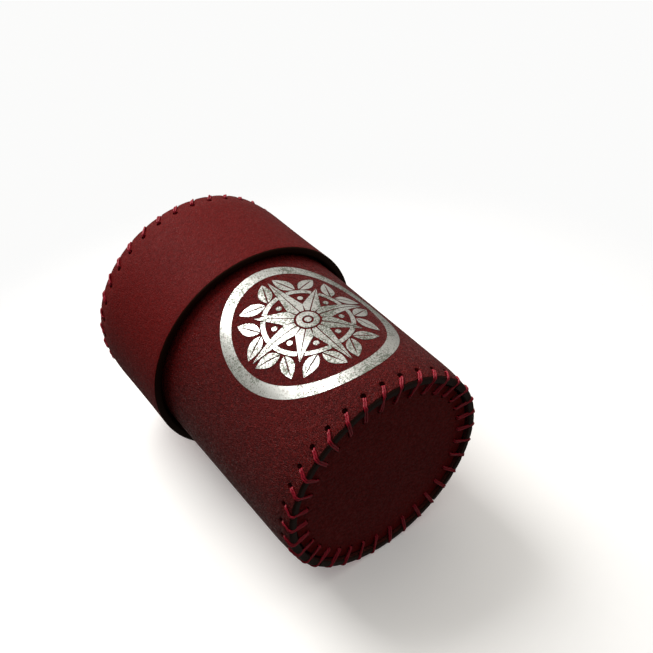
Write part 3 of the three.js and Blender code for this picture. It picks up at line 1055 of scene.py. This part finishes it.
def press_on(foil, tube):
    """Wraps the flat foil round the body, a hair above the leather."""
    modify(foil, "SOLIDIFY", thickness=sizes().foil, offset=1)
    low = min(vertex.co.z for vertex in foil.data.vertices)
    for vertex in foil.data.vertices:
        x, y, lift = vertex.co
        angle = FRONT + x / tube.radius
        z = RING_CENTRE + y
        depth = tube.depth_at(z)
        reach = tube.surface_at(angle, depth) + 0.015 * MM + lift - low
        vertex.co = polar(angle, reach, z)
    edit(foil)
    bpy.ops.mesh.select_all(action="SELECT")
    bpy.ops.mesh.normals_make_consistent(inside=False)
    done()


# ---- operators ----

class DICECUP_OT_body_sheet(bpy.types.Operator):
    """Roll, punch and mould the cup's own leather sheet"""

    bl_idname = "dicecup.body_sheet"
    bl_label = "Body Sheet"

    def execute(self, context):
        make_sheet("body_leather", body_tube(), BODY_HIDE, "cup", "body_wall")
        return {"FINISHED"}


class DICECUP_OT_lid_sheet(bpy.types.Operator):
    """Roll, punch and mould the lid's leather sheet"""

    bl_idname = "dicecup.lid_sheet"
    bl_label = "Lid Sheet"

    def execute(self, context):
        make_sheet("lid_leather", lid_tube(), LID_HIDE, "lid", "lid_wall")
        return {"FINISHED"}


class DICECUP_OT_discs(bpy.types.Operator):
    """Cut the base disc and the lid's top disc"""

    bl_idname = "dicecup.discs"
    bl_label = "Discs"

    def execute(self, context):
        make_disc("base_leather_disc", body_tube(), "cup", "base_disc")
        make_disc("lid_leather_disc", lid_tube(), "lid", "lid_top_disc")
        return {"FINISHED"}


class DICECUP_OT_stitches(bpy.types.Operator):
    """Whip-stitch both discs to their tubes with doubled thread"""

    bl_idname = "dicecup.stitches"
    bl_label = "Whip Stitches"

    def execute(self, context):
        strand = sizes().strand
        body, lid = body_tube(), lid_tube()
        lay_thread("base_thread", stitch_route(body), strand, 19 * MM, "cup", "base_stitch_thread")
        lay_thread("lid_thread", stitch_route(lid), strand, 17 * MM, "lid", "lid_stitch_thread")
        return {"FINISHED"}


class DICECUP_OT_seams(bpy.types.Operator):
    """Sew up the butt seams of both sheets"""

    bl_idname = "dicecup.seams"
    bl_label = "Seam Threads"

    def execute(self, context):
        strand = sizes().seam_strand
        body, lid = body_tube(), lid_tube()
        lay_thread("body_seam_lacing", seam_route(body), strand, 15 * MM, "cup", "body_seam_thread")
        lay_thread("lid_seam_lacing", seam_route(lid), strand, 15 * MM, "lid", "lid_seam_thread")
        return {"FINISHED"}


class DICECUP_OT_emblem(bpy.types.Operator):
    """Stamp the silver ring and the star on the front of the body"""

    bl_idname = "dicecup.emblem"
    bl_label = "Foil Emblem"

    def execute(self, context):
        tube = body_tube()
        silver = foil_material("silver_foil_finish")
        ring = flat_ring("emblem_ring_silver", RING_RADIUS, RING_RADIUS - sizes().ring_band, 4, 160)
        press_on(ring, tube)
        finish_piece(ring, silver, "cup", "silver_foil", "emblem_ring_foil")
        star = draw_motif()
        stripe(star, STAR_LONG, 1.2 * MM, 6 * MM)
        press_on(star, tube)
        finish_piece(star, silver, "cup", "silver_foil", "emblem_motif_foil")
        return {"FINISHED"}


class DICECUP_OT_stage(bpy.types.Operator):
    """Set up the camera, the pale floors and the soft lights"""

    bl_idname = "dicecup.stage"
    bl_label = "Stage"

    def execute(self, context):
        add_camera()
        add_floors()
        add_lights()
        return {"FINISHED"}


# ---- stage ----

VIEW_AZIMUTH = math.radians(-32.2)  # round the cup, from straight in front of the emblem
VIEW_ELEVATION = math.radians(-37.2)  # below the cup's base, because the cup is seen lying down
VIEW_ROLL = math.radians(-48.7)
VIEW_DISTANCE = 359.5 * MM
VIEW_LENS = 51.6
VIEW_AIM = Vector((21.3, -12.4, 62.8)) * MM
SKY = Vector((-0.08, -0.76, 0.62))  # where the soft light is brightest


def view_axes():
    """The camera's right, up and back, rolled about its line of sight."""
    a, e = VIEW_AZIMUTH, VIEW_ELEVATION
    back = Vector((math.sin(a) * math.cos(e), -math.cos(a) * math.cos(e), math.sin(e)))
    right = Vector((0, 0, 1)).cross(back).normalized()
    spin = Matrix.Rotation(VIEW_ROLL, 3, back)
    right = spin @ right
    return right, back.cross(right), back


def add_camera():
    right, up, back = view_axes()
    clear_selection()
    bpy.ops.object.camera_add(location=VIEW_AIM + back * VIEW_DISTANCE)
    camera = named("studio_camera")
    camera.rotation_mode = "QUATERNION"
    camera.rotation_quaternion = Matrix((right, up, back)).transposed().to_quaternion()
    camera.data.sensor_width = 36
    camera.data.lens = VIEW_LENS
    camera.data.clip_start = 0.01
    bpy.context.scene.camera = camera


def floor_material(name):
    """A pale one-sided sheet that fades out away from the cup."""
    material, board, shader = new_material(name)
    coords = board.add("ShaderNodeTexCoord").outputs["Object"]
    reach = board.vector("LENGTH", {0: coords}).outputs["Value"]
    grain = board.noise(coords, 120.0, 3.0)
    near = board.math("SUBTRACT", 1.0, board.ramp(reach, 0.07, 0.24))
    facing = board.math("SUBTRACT", 1.0, board.add("ShaderNodeNewGeometry").outputs["Backfacing"])
    pale = colours().floor
    board.feed(shader.inputs["Base Color"], board.blend(grain, [x * 0.97 for x in pale], pale))
    board.feed(shader.inputs["Alpha"], board.math("MULTIPLY", near, facing))
    shader.inputs["Roughness"].default_value = 0.9
    shader.inputs["Emission Color"].default_value = (1, 1, 1, 1)
    shader.inputs["Emission Strength"].default_value = 0.2
    return material


def add_floor(name, place, normal):
    clear_selection()
    bpy.ops.mesh.primitive_plane_add(size=1.2, location=place)
    floor = named(name)
    floor.rotation_mode = "QUATERNION"
    floor.rotation_quaternion = Vector((0, 0, 1)).rotation_difference(normal)
    floor.data.materials.append(floor_material(name + "_finish"))
    floor.visible_diffuse = False
    floor.visible_glossy = False
    floor.visible_shadow = False


def add_floors():
    """One floor under the standing cup, and one under the cup as it lies on its back."""
    add_floor("standing_floor", (0, 0, -0.3 * MM), Vector((0, 0, 1)))
    heel = Vector((0, BODY_RADIUS - 1.2 * MM, 0))
    rim = Vector((0, LID_RIM_RADIUS, LID_LOW.z))
    slope = (rim - heel).normalized()
    normal = slope.cross(Vector((1, 0, 0))).normalized()
    if normal.y > 0:
        normal = -normal
    middle = (heel + rim) / 2 - normal * 0.3 * MM
    add_floor("lying_floor", middle, normal)


def add_area_light(name, place, aim, size, power, tint):
    clear_selection()
    bpy.ops.object.light_add(type="AREA", location=place)
    light = named(name)
    light.rotation_mode = "QUATERNION"
    light.rotation_quaternion = (place - aim).to_track_quat("Z", "Y")
    light.data.size = size
    light.data.energy = power
    light.data.color = tint
    return light


def add_lights():
    centre = Vector((0, 0, 0.064))
    add_area_light("key_light", Vector((-0.14, -0.66, 0.64)), centre, 0.5, 7.3, (1.0, 0.985, 0.96))
    back = add_area_light("back_light", Vector((0.20, 0.72, 0.55)), centre, 0.8, 7.5, (1.0, 0.95, 0.88))
    back.visible_glossy = False  # or it would leave a grey streak along the flank
    bpy.context.scene.view_settings.view_transform = "Standard"
    world = bpy.context.scene.world or bpy.data.worlds.new("studio")
    bpy.context.scene.world = world
    world.use_nodes = True
    world.node_tree.nodes.clear()
    board = Board(world.node_tree)
    seen = board.add("ShaderNodeLightPath").outputs["Is Camera Ray"]
    backdrop = board.add("ShaderNodeBackground", {"Color": (0.965, 0.965, 0.96, 1), "Strength": 1.0})
    toward = board.add("ShaderNodeTexCoord").outputs["Object"]
    height = board.vector("DOT_PRODUCT", {0: toward, 1: SKY.normalized()})
    strength = board.between(board.ramp(height.outputs["Value"], -0.10, 1.0), 0.18, 0.96)
    side = board.add("ShaderNodeSeparateXYZ", {0: toward}).outputs[0]
    shade = board.between(board.ramp(side, -0.74, -0.42), 0.08, 1.0)
    strength = board.math("MULTIPLY", strength, shade)
    fill = board.add("ShaderNodeBackground", {"Color": (1.0, 0.955, 0.885, 1), "Strength": strength})
    mix = board.add("ShaderNodeMixShader", {0: seen, 1: fill.outputs[0], 2: backdrop.outputs[0]})
    board.add("ShaderNodeOutputWorld", {"Surface": mix.outputs[0]})


class DICECUP_PT_panel(bpy.types.Panel):
    """Sizes, colours and building steps of the dice cup"""

    bl_idname = "DICECUP_PT_panel"
    bl_label = "Dice Cup"
    bl_space_type = "VIEW_3D"
    bl_region_type = "UI"
    bl_category = "Dice Cup"

    def draw(self, context):
        layout = self.layout
        for group in (context.scene.dice_cup_sizes, context.scene.dice_cup_colours):
            box = layout.box()
            for key in group.__annotations__:
                box.prop(group, key)
        for step in STEPS:
            layout.operator(step.bl_idname)


STEPS = (
    DICECUP_OT_stage,
    DICECUP_OT_body_sheet,
    DICECUP_OT_lid_sheet,
    DICECUP_OT_discs,
    DICECUP_OT_stitches,
    DICECUP_OT_seams,
    DICECUP_OT_emblem,
)
CLASSES = (DiceCupSizes, DiceCupColours, *STEPS, DICECUP_PT_panel)


def register():
    for cls in CLASSES:
        bpy.utils.register_class(cls)
    bpy.types.Scene.dice_cup_sizes = bpy.props.PointerProperty(type=DiceCupSizes)
    bpy.types.Scene.dice_cup_colours = bpy.props.PointerProperty(type=DiceCupColours)


def unregister():
    del bpy.types.Scene.dice_cup_sizes
    del bpy.types.Scene.dice_cup_colours
    for cls in reversed(CLASSES):
        bpy.utils.unregister_class(cls)


def main():
    register()
    bpy.ops.dicecup.stage()
    bpy.ops.dicecup.body_sheet()
    bpy.ops.dicecup.lid_sheet()
    bpy.ops.dicecup.discs()
    bpy.ops.dicecup.stitches()
    bpy.ops.dicecup.seams()
    bpy.ops.dicecup.emblem()


if __name__ == "__main__":
    main()
